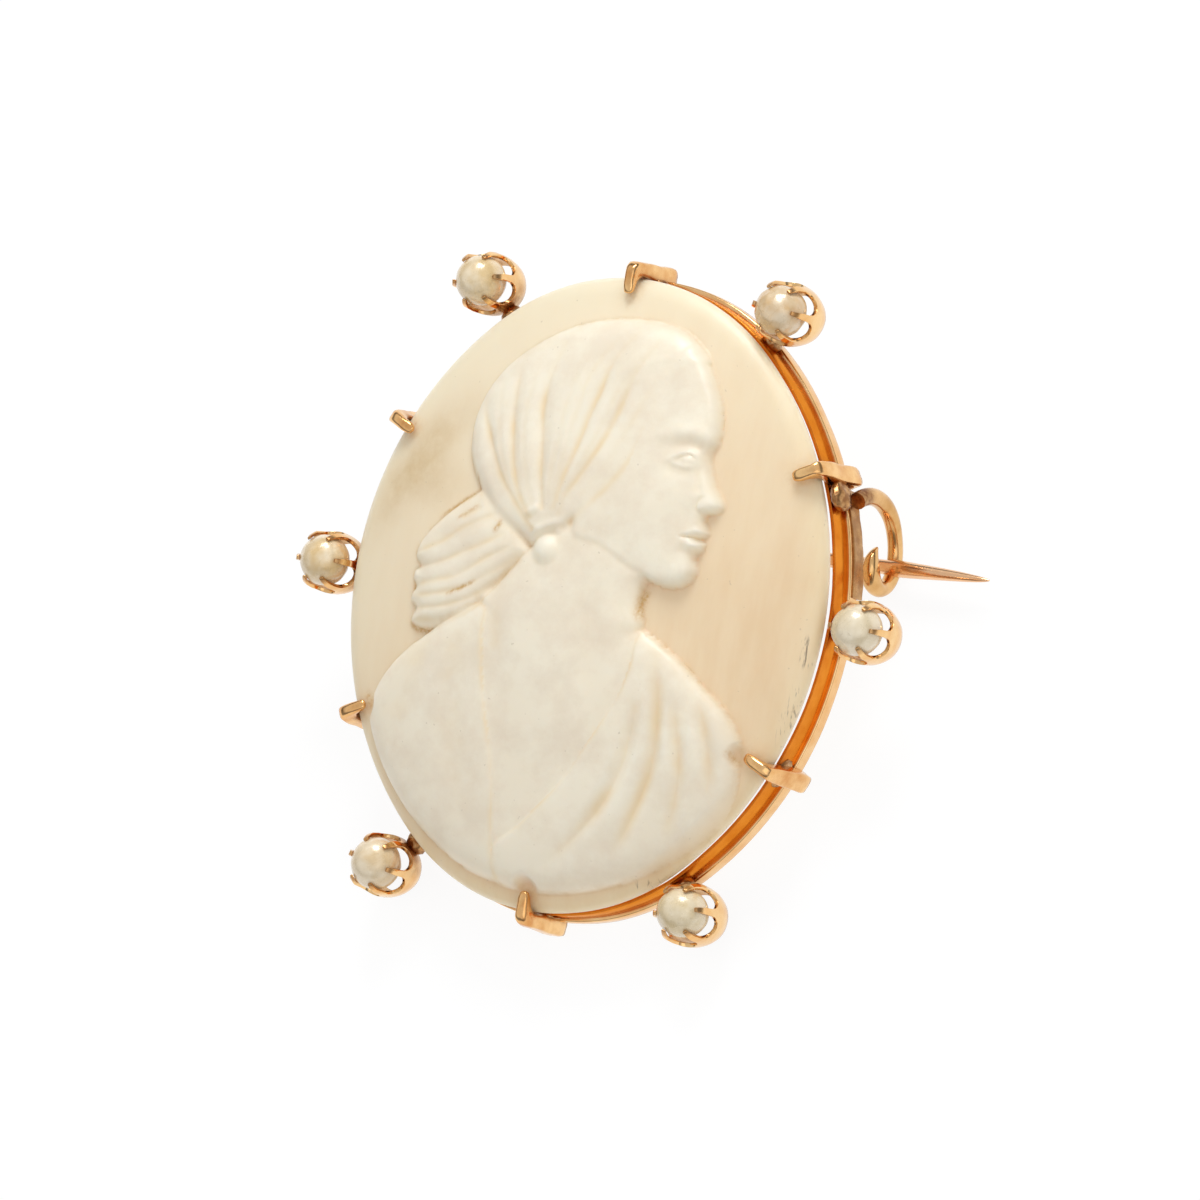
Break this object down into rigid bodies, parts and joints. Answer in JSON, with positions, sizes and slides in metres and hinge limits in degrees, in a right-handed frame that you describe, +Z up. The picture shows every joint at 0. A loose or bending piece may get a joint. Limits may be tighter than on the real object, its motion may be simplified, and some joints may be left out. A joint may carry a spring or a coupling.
{
  "type": "cameo brooch",
  "caption": "Oval brooch with a domed, carved shell cameo in a clawed gold ring, small pearls in collets round it, and a hinged pin with a wire catch behind.",
  "frame": {"origin": "centre of the bounding box at its lowest plane, the surface the brooch lies on", "axes": "+X towards the pin's point, +Y towards the top of the oval as it lies, +Z up; the oval's own face looks up and leans 12.2 degrees back from +Z about +X"},
  "size_m": [0.0454, 0.0422, 0.014],
  "materials": {
    "shell": "satin",
    "gold": "polished",
    "pearl": "gloss"
  },
  "bodies": {
    "brooch": {"cameo_shell": "shell", "gold_setting": "gold", "hinge_rivet": "gold", "pearl_top_left": "pearl", "pearl_left": "pearl", "pearl_low_left": "pearl", "pearl_top_right": "pearl", "pearl_right": "pearl", "pearl_low_right": "pearl"},
    "pin": {"pin_stem": "gold"}
  },
  "joints": [
    {"name": "pin_hinge", "type": "hinge", "parent": "brooch", "child": "pin", "pos_m": [-0.01713, 0.00575, 0.00149], "axis": [0, 0.9774, 0.2114], "range_deg": [0, 110]}
  ]
}
